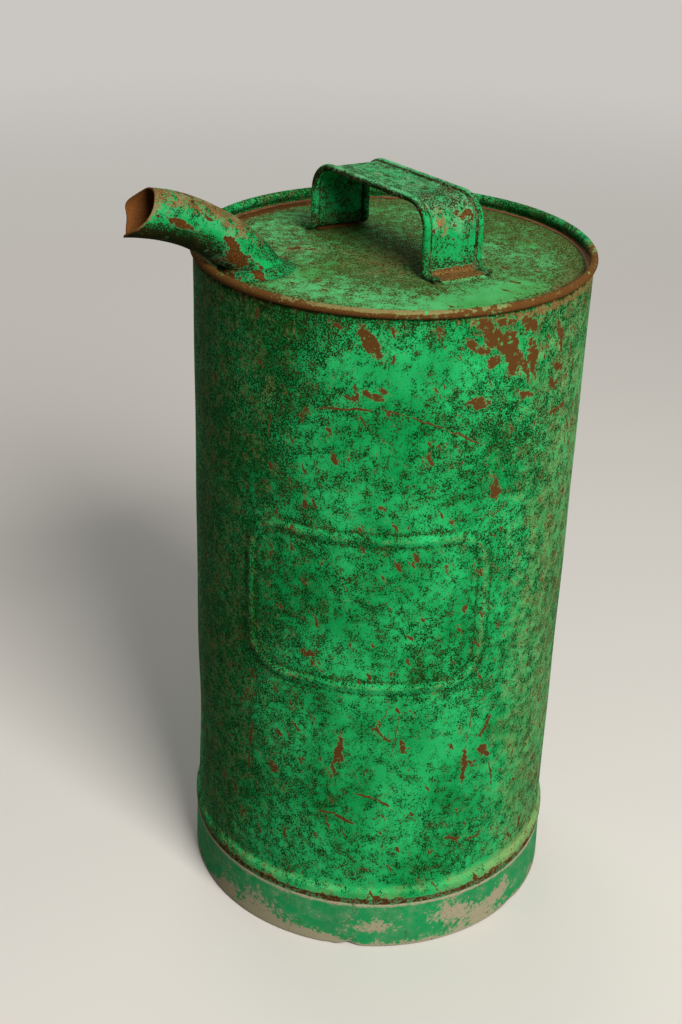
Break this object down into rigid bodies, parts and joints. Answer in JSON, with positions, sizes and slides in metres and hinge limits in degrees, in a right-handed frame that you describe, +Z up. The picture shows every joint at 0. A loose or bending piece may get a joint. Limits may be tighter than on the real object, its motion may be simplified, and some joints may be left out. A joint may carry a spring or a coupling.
{
  "type": "kerosene can",
  "caption": "Tall round sheet-steel kerosene can with a wired rim, recessed crowned top, fixed strap handle, bent open pouring spout and hemmed foot band.",
  "frame": {"origin": "on the floor under the middle of the whole can, midway between the back of the foot band and the lip of the spout; the body's axis stands 24.2 mm behind it", "axes": "+Z up along the body, +X the way the spout pours, +Y to the left of the pouring direction"},
  "size_m": [0.2914, 0.243, 0.4856],
  "materials": {
    "green_paint": "aged satin green paint with pinprick rust",
    "worn_green_paint": "rubbed green paint with rust film and bare patches",
    "steel_wire": "plain drawn steel wire, rusty",
    "rusty_solder": "dull solder stained with rust"
  },
  "bodies": {
    "root": {"body_shell": "green_paint", "rim_wire": "steel_wire", "base_band": "worn_green_paint", "bottom_panel": "green_paint", "top_panel": "worn_green_paint", "top_seam_solder": "rusty_solder", "spout_tube": "worn_green_paint", "spout_solder": "green_paint", "handle_strap": "green_paint", "handle_wire_spout_side": "steel_wire", "handle_wire_far_side": "steel_wire", "handle_solder_left": "rusty_solder", "handle_solder_right": "rusty_solder"}
  },
  "joints": []
}
